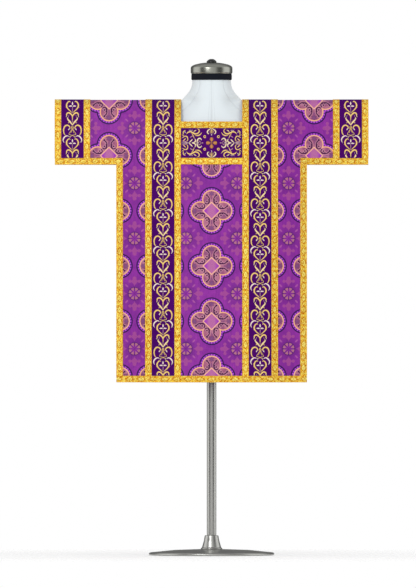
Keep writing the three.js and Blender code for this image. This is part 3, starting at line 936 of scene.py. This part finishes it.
def make_panels(right_side, wrong_side):
    for side, sign in SIDES.items():
        neck = NECK_DROP[side]
        exact_x = [sign_x * x for x in (NECK_SIDE, BODY_SIDE, CUFF) for sign_x in (-1, 1)]
        xs = with_lines(even_lines(-CUFF, CUFF, PANEL_STEP), exact_x, 1.5)
        ends = sorted([sign * 0.02, sign * LENGTH])
        rows = rows_between(160, *ends, PANEL_STEP)
        ts = with_lines(rows, [sign * d for d in (0.02, neck, SLEEVE_DEPTH, LENGTH)], 1.5)

        def covers(x, t, neck=neck):
            x, drop = np.abs(x), np.abs(t)
            return ((x < BODY_SIDE) | (drop < SLEEVE_DEPTH)) & ((x > NECK_SIDE) | (drop > neck))

        panel = wall(
            f"brocade_{side}", xs, ts, CLOTH_INNER, CLOTH_OUTER, [right_side, wrong_side],
            [f"{side}_panel"], covers,
        )
        length = max(panel_cut(x, side) for x in (NECK_SIDE, -NECK_SIDE))
        area = sum(panel_cut((a + b) / 2, side) * (b - a) for a, b in zip(xs, xs[1:]))
        length * MM
        area * MM**2


def band_place(centre, side):
    """Turns a band's (across, down, height) into points over the cloth."""

    def place(across, down, height):
        x, t = centre + across, SIDES[side] * down
        base = EMBROIDERY_BASE + np.broadcast_to(height, x.shape)
        return cloth_point(x, t) + cloth_normal(x, t) * base[:, None]

    return place


def make_band(name, node, low, high, end, velvet_cloth, threads):
    """A velvet band over the shoulder, with its embroidery on the front and the back."""
    xs = even_lines(low, high, 4.8)
    centre = (low + high) / 2
    ts = rows_between(centre, -end, end, VELVET_STEP)
    cloth = wall(name, xs, ts, UNDER_TRIM, VELVET_OUTER, [velvet_cloth], [node])
    length = cut_length(centre, -end, end)
    for side in SIDES:
        strokes = orphrey_strokes(end)
        piece = embroidered(
            f"{name}_embroidery_{side}", strokes, band_place(centre, side), EMBROIDERY_RISE, threads
        )
        face_outwards(piece)
    length * MM


def make_bands(velvet_cloth, threads):
    for hand, sign in HANDS.items():
        for name, node, near, far, end in (
            ("clavus", "clavus", CLAVUS_IN, CLAVUS_OUT, HEM),
            ("cuff_velvet", "cuff_band", BAND_IN, BAND_OUT, WRIST),
        ):
            low, high = sorted((sign * near, sign * far))
            make_band(f"{name}_{hand}_cloth", f"{node}_{hand}", low, high, end, velvet_cloth, threads)


def make_yokes(velvet_cloth, threads):
    for side, sign in SIDES.items():
        top = NECK_DROP[side] + BRAID_WIDTH
        xs = even_lines(-NECK_SIDE, NECK_SIDE, 5)
        ts = rows_between(0, *sorted((sign * top, sign * WRIST)), VELVET_STEP)
        cloth = wall(
            f"yoke_{side}_cloth", xs, ts, UNDER_TRIM, VELVET_OUTER, [velvet_cloth], [f"yoke_{side}"]
        )
        middle = (top + WRIST) / 2
        on_band = band_place(0, side)
        work = embroidered(
            f"yoke_{side}_embroidery", yoke_strokes(), lambda a, d, h: on_band(a, d + middle, h),
            EMBROIDERY_RISE, threads,
        )
        face_outwards(work)
        flat = (2 * NECK_SIDE * MM, cut_length(0, sign * top, sign * WRIST) * MM)


def braid_down(name, node, centre, t1, t2, gold):
    """A braid that runs along the cloth, in the column at centre."""
    xs = centre + BRAID_ACROSS
    ts = rows_between(centre, t1, t2, BRAID_STEP)
    along, across = np.broadcast_arrays(cut_drop(centre, ts)[None, :], BRAID_ACROSS[:, None])
    lay_braid(name, node, xs, ts, along, across, cut_length(centre, t1, t2), gold)


def braid_across(name, node, x1, x2, side, low, gold):
    """A braid that runs across the cloth on one side, with its upper edge at the drop low."""
    sign = SIDES[side]
    middle = low + BRAID_WIDTH / 2
    xs = even_lines(x1, x2, BRAID_STEP)
    ts = sign * middle + BRAID_ACROSS
    along, across = np.broadcast_arrays(xs[:, None], BRAID_ACROSS[None, :])
    lay_braid(name, node, xs, ts, along, across, x2 - x1, gold)


def lay_braid(name, node, xs, ts, along, across, length, gold):
    field = np.stack([along, across, np.zeros_like(along)], axis=-1)
    outer = BRAID_GROUND + braid_height(along, across)
    piece = wall(name, xs, ts, UNDER_TRIM, outer, [gold], [node], field=field)
    length * MM


def make_braids(gold):
    half = BRAID_WIDTH / 2
    for hand, sign in HANDS.items():
        for name, inner_edge, end in (
            (f"clavus_braid_{hand}_inner", NECK_SIDE, HEM),
            (f"clavus_braid_{hand}_outer", CLAVUS_OUT, HEM),
            (f"cuff_braid_{hand}_outer", BAND_OUT, WRIST),
            (f"cuff_braid_{hand}_inner", BAND_SIDE, WRIST),
        ):
            braid_down(f"gold_{name}", name, sign * (inner_edge + half), -end, end, gold)
        for side, facing in SIDES.items():
            under, flank = f"sleeve_braid_{side}_{hand}", f"side_braid_{side}_{hand}"
            low, high = sorted((sign * (BODY_SIDE - BRAID_WIDTH), sign * CUFF))
            braid_across(f"gold_{under}", under, low, high, side, WRIST, gold)
            ends = sorted((facing * SLEEVE_DEPTH, facing * HEM))
            braid_down(f"gold_{flank}", flank, sign * (BODY_SIDE - half), *ends, gold)
    for side in SIDES:
        neck = NECK_DROP[side]
        for name, x, low in (
            (f"hem_braid_{side}", BODY_SIDE, HEM),
            (f"neck_braid_{side}", NECK_SIDE, neck),
            (f"yoke_braid_{side}", NECK_SIDE, WRIST),
        ):
            braid_across(f"gold_{name}", name, -x, x, side, low, gold)


# The dress form. Its levels repeat the solid's: drop from the shoulder fold, half sizes wide, deep and at the middle
TORSO = [
    (-67, 65, 64, 64), (-48, 67, 65, 65), (-28, 76, 58, 66), (-12, 90, 42, 67), (1.4, 103, 20, 67), (12, 118, 28, 68),
    (25, 140, 43, 69), (45, 178, 57, 71), (68, 206, 74, 75), (100, 221, 93, 90), (150, 216, 110, 107),
    (210, 202, 118, 116), (280, 188, 116, 116), (370, 168, 104, 104), (450, 168, 104, 104), (550, 186, 113, 113),
    (640, 191, 117, 117), (700, 187, 114, 114), (720, 177, 105, 105),
]
NECK_SPREAD = 65
SEAM_ANGLES = [0, 52, 90, 128, 180, 232, 270, 308]
SEAM_DEPTH = 1.1
SEAM_HALF = 1.6


def torso_levels():
    """The torso's levels, drawn smoothly through the solid's."""
    table = np.array(TORSO, float)
    fine = []
    for low, high in zip(table, table[1:]):
        count = max(2, round((high[0] - low[0]) / 9))
        fine += [low[0] + (high[0] - low[0]) * k / count for k in range(count)]
    fine = np.array([*fine, table[-1][0]])
    columns = []
    for column in table[:, 1:].T:
        slopes = np.gradient(column, table[:, 0])
        k = np.clip(np.searchsorted(table[:, 0], fine, side="right") - 1, 0, len(table) - 2)
        span = table[k + 1, 0] - table[k, 0]
        f = (fine - table[k, 0]) / span
        start, end = column[k], column[k + 1]
        bend = (2 * f**3 - 3 * f**2 + 1) * start + (3 * f**2 - 2 * f**3) * end
        bend += span * ((f**3 - 2 * f**2 + f) * slopes[k] + (f**3 - f**2) * slopes[k + 1])
        columns.append(np.minimum(bend, np.maximum(start, end)))
    return np.stack([fine, *columns], axis=1)


def make_torso(jersey):
    """The firm torso in its jersey cover, with the cover's seams let in."""
    spread = [a + d for a in SEAM_ANGLES for d in (-1.5, -0.6, 0, 0.6, 1.5)]
    angles = np.radians(np.unique(np.mod([*spread, *np.arange(0, 360, 5)], 360)))
    rings, seams = [], []
    for drop, wide, deep, middle in torso_levels():
        x = wide * np.cos(angles)
        depth = deep + (middle - deep) * np.exp(-((x / NECK_SPREAD) ** 4))
        points = np.stack([x, depth * np.sin(angles), np.full_like(x, SHOULDER_HEIGHT - drop)], axis=1)
        off = np.abs((np.degrees(angles)[:, None] - np.array([*SEAM_ANGLES, 360])[None, :]))
        off = np.radians(off.min(axis=1)) * np.hypot(x, depth * np.sin(angles))
        sunk = SEAM_DEPTH * np.exp(-((off / SEAM_HALF) ** 2))
        inwards = points[:, :2] / np.linalg.norm(points[:, :2], axis=1, keepdims=True)
        points[:, :2] -= inwards * (sunk + 0.3)[:, None]
        rings.append(points)
        seams.append(np.stack([off, np.full_like(off, drop), np.zeros_like(off)], axis=1))
    count, levels = len(angles), len(rings)
    points = np.concatenate([*rings, rings[0].mean(axis=0)[None], rings[-1].mean(axis=0)[None]])
    fields = {"seam": np.concatenate([*seams, [[99, TORSO[0][0], 0], [99, TORSO[-1][0], 0]]])}
    faces = []
    for k in range(count):
        n = (k + 1) % count
        for r in range(levels - 1):
            faces.append([r * count + k, (r + 1) * count + k, (r + 1) * count + n, r * count + n])
        faces += [[levels * count, k, n], [levels * count + 1, (levels - 1) * count + n, (levels - 1) * count + k]]
    new_piece("torso_cover", points, faces, [jersey], fields=fields, replaced=["form_torso"])


def jersey_cloth():
    base = rgb(233, 241, 245)
    material, tree, shader = new_material("off_white_jersey", base, 0.85, Specular_IOR_Level=0.2, Sheen_Weight=0.15)
    off, drop = field_of(tree, "seam", 0), field_of(tree, "seam", 1)
    knit = noise(tree, 700, 2, (1, 1, 0.6))
    stain = noise(tree, 7, 2)
    stitch = abs(off - 4.2).below(0.5, 0.3) * (drop * (2 * math.pi / 4)).math("SINE").above(-0.2, 0.3)
    colour = Field(tree, 0.0).node("ShaderNodeRGB", {})
    colour.value.default_value = (*base, 1)
    colour = colour.painted(rgb(228, 236, 242), stain.above(0.5, 0.2) * 0.4)
    colour = colour.painted(rgb(196, 202, 206), off.below(1.2, 0.6) * 0.35)
    colour = colour.painted(rgb(206, 212, 216), stitch * 0.5)
    set_colour(tree, shader, colour)
    add_bump(tree, shader, knit + stitch * 0.8, 0.3, 0.6)
    return material


def black_cloth():
    material, tree, shader = new_material("black_neck_band", rgb(16, 20, 30), 0.75, Specular_IOR_Level=0.15)
    place = Field(tree, 0.0).node("ShaderNodeTexCoord", {}, "Object")
    height = place.node("ShaderNodeSeparateXYZ", {0: place}, "Z")
    rib = (height * (2 * math.pi / 0.0016)).math("SINE") * 0.5 + 0.5
    colour = Field(tree, 0.0).node("ShaderNodeRGB", {})
    colour.value.default_value = (*rgb(12, 16, 26), 1)
    # painted sheen: the ribs' crests are lighter than the black between them
    set_colour(tree, shader, colour.painted(rgb(30, 34, 46), rib * 0.5))
    add_bump(tree, shader, rib, 0.3, 0.6)
    return material


def metal(name, colour, roughness, brush):
    """Polished or brushed metal. brush stretches its fine scratches."""
    material, tree, shader = new_material(name, colour, roughness, Metallic=1.0)
    scratch = noise(tree, 260, 3, brush)
    smudge = noise(tree, 14, 2)
    inputs = {"Value": scratch * 0.6 + smudge * 0.4, "To Min": roughness * 0.75, "To Max": roughness * 1.35}
    rough = Field(tree, 0.0).node("ShaderNodeMapRange", inputs)
    tree.links.new(rough.value, shader.inputs["Roughness"])
    add_bump(tree, shader, scratch, 0.05, 0.4)
    return material


def black_gloss(name, roughness):
    material, tree, shader = new_material(name, rgb(18, 18, 20), roughness, Specular_IOR_Level=0.5)
    dust = noise(tree, 60, 3)
    colour = Field(tree, 0.0).node("ShaderNodeRGB", {})
    colour.value.default_value = (*rgb(16, 16, 18), 1)
    set_colour(tree, shader, colour.painted(rgb(40, 40, 44), dust.above(0.55, 0.15) * 0.5))
    add_bump(tree, shader, dust, 0.05, 0.5)
    return material


def node_span(node):
    """A CAD node's lowest and highest level and its largest radius, in millimetres."""
    low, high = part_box(node)
    return low[2] / MM, high[2] / MM, high[0] / MM


def make_form():
    make_torso(jersey_cloth())
    cloth, polished = black_cloth(), metal("polished_steel", rgb(154, 155, 147), 0.24, (1, 1, 12))
    brushed = metal("brushed_steel", rgb(176, 176, 172), 0.3, (1, 1, 14))
    gloss, paint = black_gloss("black_gloss", 0.2), black_gloss("black_paint", 0.5)

    low, high, radius = node_span("form_neck_band")
    tall = high - low
    band = [[0, 0], [radius - 1, 0], [radius, tall * 0.2], [radius, tall * 0.8], [radius - 1, tall], [0, tall]]
    turned("neck_band_cloth", rounded(band, 2), 96, cloth, ["form_neck_band"], "neck_band", low)

    low, high, radius = node_span("form_neck_cap")
    tall = high - low
    cap = [
        [0, 0], [radius - 1.2, 0], [radius - 1.2, tall * 0.06], [radius, tall * 0.1], [radius, tall * 0.55],
        [radius * 0.96, tall * 0.68], [radius * 0.82, tall * 0.82], [radius * 0.55, tall * 0.94],
        [radius * 0.3, tall], [0, tall],
    ]
    turned("neck_cap_metal", rounded(cap, 2.5), 96, polished, ["form_neck_cap"], "cap", low)

    low, high, radius = node_span("form_neck_knob")
    tall = high - low
    knob = [
        [0, 0], [radius, 0], [radius, tall * 0.2], [radius * 0.9, tall * 0.45], [radius * 0.64, tall * 0.78],
        [radius * 0.34, tall], [0, tall],
    ]
    turned("neck_knob_black", rounded(knob, 3), 64, gloss, ["form_neck_knob"], "knob", low)

    low, high, radius = node_span("form_board")
    wide, deep = radius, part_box("form_board")[1][1] / MM
    tall = high - low
    outline = rounded([[0, 0], [1, 0], [1, 1], [0, 1]], 0.02)
    board = turned("board_painted", outline, 96, paint, ["form_board"], "board")
    for vertex in board.data.vertices:
        x, y, z = vertex.co / MM
        vertex.co = (x * wide * MM, y * deep * MM, (low + z * tall) * MM)

    low, high, radius = node_span("form_pole")
    tall = high - low
    turned("pole_steel", rounded([[0, 0], [radius, 0], [radius, tall], [0, tall]], 1), 48, brushed, ["form_pole"],
           "stand", low)

    low, high, radius = node_span("form_hub")
    tall = high - low
    hub = [[0, 0], [radius, 0], [radius, 3], [radius * 0.9, 5], [radius * 0.72, tall * 0.6], [radius * 0.63, tall], [0, tall]]
    turned("hub_steel", rounded(hub, 2), 64, brushed, ["form_hub"], "stand", low)

    low, high, radius = node_span("form_base")
    tall = high - low
    base = [
        [0, 0], [radius, 0], [radius, tall * 0.32], [radius - 4, tall * 0.45], [radius * 0.6, tall * 0.85],
        [radius * 0.2, tall], [0, tall],
    ]
    turned("base_steel", rounded(base, 3), 128, brushed, ["form_base"], "stand", low)


# The studio
CAMERA_DISTANCE = 60000
CAMERA_HEIGHT = 875.1
CAMERA_ASIDE = -12
LENS = 1095.9
FLOOR_RADIUS = 1.5
SURROUND = 0.62
KEY_LIGHT = 78
FILL_LIGHT = 32
RIM_LIGHT = 40


def make_camera():
    camera = bpy.data.objects.new("camera", bpy.data.cameras.new("camera"))
    camera.data.lens = LENS
    camera.data.sensor_width = 36
    camera.location = (CAMERA_ASIDE * MM, -CAMERA_DISTANCE * MM, CAMERA_HEIGHT * MM)
    camera.rotation_euler = (math.pi / 2, 0, 0)
    camera.data.clip_end = 2 * CAMERA_DISTANCE * MM
    bpy.context.scene.collection.objects.link(camera)
    bpy.context.scene.camera = camera


def make_light(name, place, target, size, power, mirrored_by_metal=True):
    light = bpy.data.objects.new(name, bpy.data.lights.new(name, "AREA"))
    light.data.shape = "DISK"
    light.data.size = size
    light.data.energy = power
    light.location = place
    light.visible_glossy = mirrored_by_metal
    towards = np.array(target, float) - np.array(place, float)
    light.rotation_euler = (
        math.atan2(math.hypot(towards[0], towards[1]), -towards[2]), 0, math.atan2(-towards[0], towards[1])
    )
    bpy.context.scene.collection.objects.link(light)


def studio_walls(tree):
    """How much brighter or darker the walls are, from -1 up, as polished metal shows them in upright stripes."""
    towards = Field(tree, 0.0).node("ShaderNodeTexCoord", {}, "Generated")
    x, y, z = (towards.node("ShaderNodeSeparateXYZ", {0: towards}, axis) for axis in "XYZ")
    aside = abs(x.math("ARCTAN2", y * -1.0))
    window = aside.above(1.2, 0.1) * aside.below(2.05, 0.1)
    gap = (aside.above(0.52, 0.1) * aside.below(1.14, 0.08)).most(aside.above(2.15, 0.1))
    return (window * 1.15 + aside.below(0.42, 0.1) * 0.3 - gap * 0.75) * abs(z).below(0.6, 0.2)


def make_studio():
    scene = bpy.context.scene
    scene.view_settings.view_transform = "Standard"
    world = bpy.data.worlds.new("studio")
    scene.world = world
    world.use_nodes = True
    tree = world.node_tree
    surround = tree.nodes["Background"]
    surround.inputs["Color"].default_value = (1, 1, 1, 1)
    seen = tree.nodes.new("ShaderNodeBackground")
    seen.inputs["Color"].default_value = (1, 1, 1, 1)
    mixed = tree.nodes.new("ShaderNodeMixShader")
    path = tree.nodes.new("ShaderNodeLightPath")
    tree.links.new(path.outputs["Is Camera Ray"], mixed.inputs[0])
    mirrored_walls = studio_walls(tree) * Field(tree, path.outputs["Is Glossy Ray"])
    tree.links.new((mirrored_walls * SURROUND + SURROUND).value, surround.inputs["Strength"])
    tree.links.new(surround.outputs[0], mixed.inputs[1])
    tree.links.new(seen.outputs[0], mixed.inputs[2])
    tree.links.new(mixed.outputs[0], tree.nodes["World Output"].inputs["Surface"])
    make_light("key", (-1.8, -4.4, 3.0), (0, 0, 1.05), 2.2, KEY_LIGHT)
    make_light("fill", (2.6, -4.4, 1.4), (0, 0, 1.0), 2.2, FILL_LIGHT, False)
    make_light("rim", (2.6, 3.4, 2.8), (0, 0, 1.2), 2.0, RIM_LIGHT, False)
    bpy.ops.mesh.primitive_circle_add(vertices=96, radius=FLOOR_RADIUS, fill_type="NGON", location=(0, 0, -0.0005))
    floor = bpy.context.object
    floor.name = "floor"
    material, tree, shader = new_material(
        "pale_floor", (0.92, 0.92, 0.92), 0.9, Specular_IOR_Level=0.1, Emission_Color=(1, 1, 1, 1),
        Emission_Strength=0.14,
    )
    place = Field(tree, 0.0).node("ShaderNodeTexCoord", {}, "Object")
    away = place.node("ShaderNodeVectorMath", {0: place}, 1, operation="LENGTH")
    inputs = {"Value": away, "From Min": 0.15, "From Max": FLOOR_RADIUS, "To Min": 1.0, "To Max": 0.0}
    tree.links.new(away.node("ShaderNodeMapRange", inputs).value, shader.inputs["Alpha"])
    floor.data.materials.append(material)


make_camera()
gold_braid = braid()
violet_velvet = velvet()
embroidery_threads = {name: embroidery_thread(name, **look) for name, look in THREADS.items()}
make_panels(brocade(), brocade_reverse())
make_bands(violet_velvet, embroidery_threads)
make_yokes(violet_velvet, embroidery_threads)
make_braids(gold_braid)
make_form()
make_studio()
